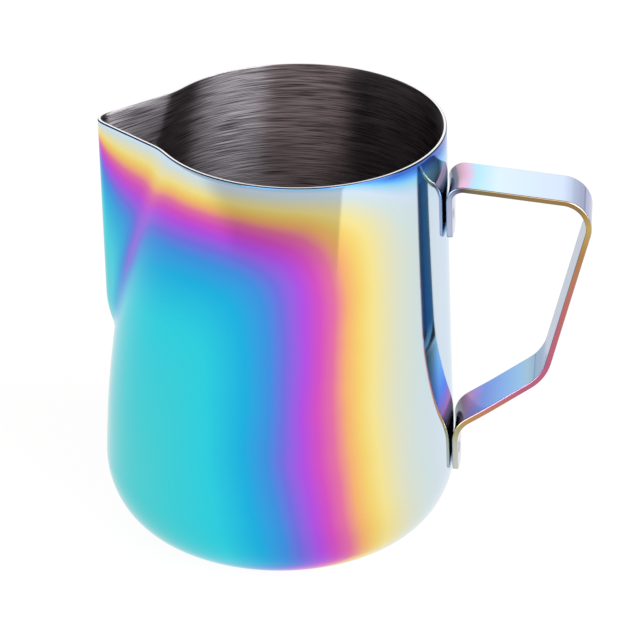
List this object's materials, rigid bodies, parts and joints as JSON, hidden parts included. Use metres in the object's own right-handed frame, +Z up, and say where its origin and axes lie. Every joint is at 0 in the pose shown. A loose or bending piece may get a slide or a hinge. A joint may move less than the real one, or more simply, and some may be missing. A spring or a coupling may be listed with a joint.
{
  "type": "milk frothing pitcher",
  "caption": "Stainless steel milk frothing pitcher: round drawn cup with a pressed V spout and an open bent-strap handle spot welded to the wall, coated outside in rainbow colours.",
  "frame": {"origin": "on the cup's axis, in the plane that the pitcher rests on", "axes": "+Z up, +X towards the handle, -X towards the spout, Y across"},
  "size_m": [0.1241, 0.09, 0.11],
  "materials": {
    "coated_cup": "mirror polished outside with a rainbow interference coating, brushed bare steel inside",
    "coated_strap": "polished strap with a rainbow interference coating",
    "welded_spot": "pressed spot weld with heat tint"
  },
  "bodies": {
    "root": {"pitcher_body": "coated_cup", "handle_strap": "coated_strap", "spot_weld_top_left": "welded_spot", "spot_weld_top_right": "welded_spot", "spot_weld_bottom_left": "welded_spot", "spot_weld_bottom_right": "welded_spot"}
  },
  "joints": []
}
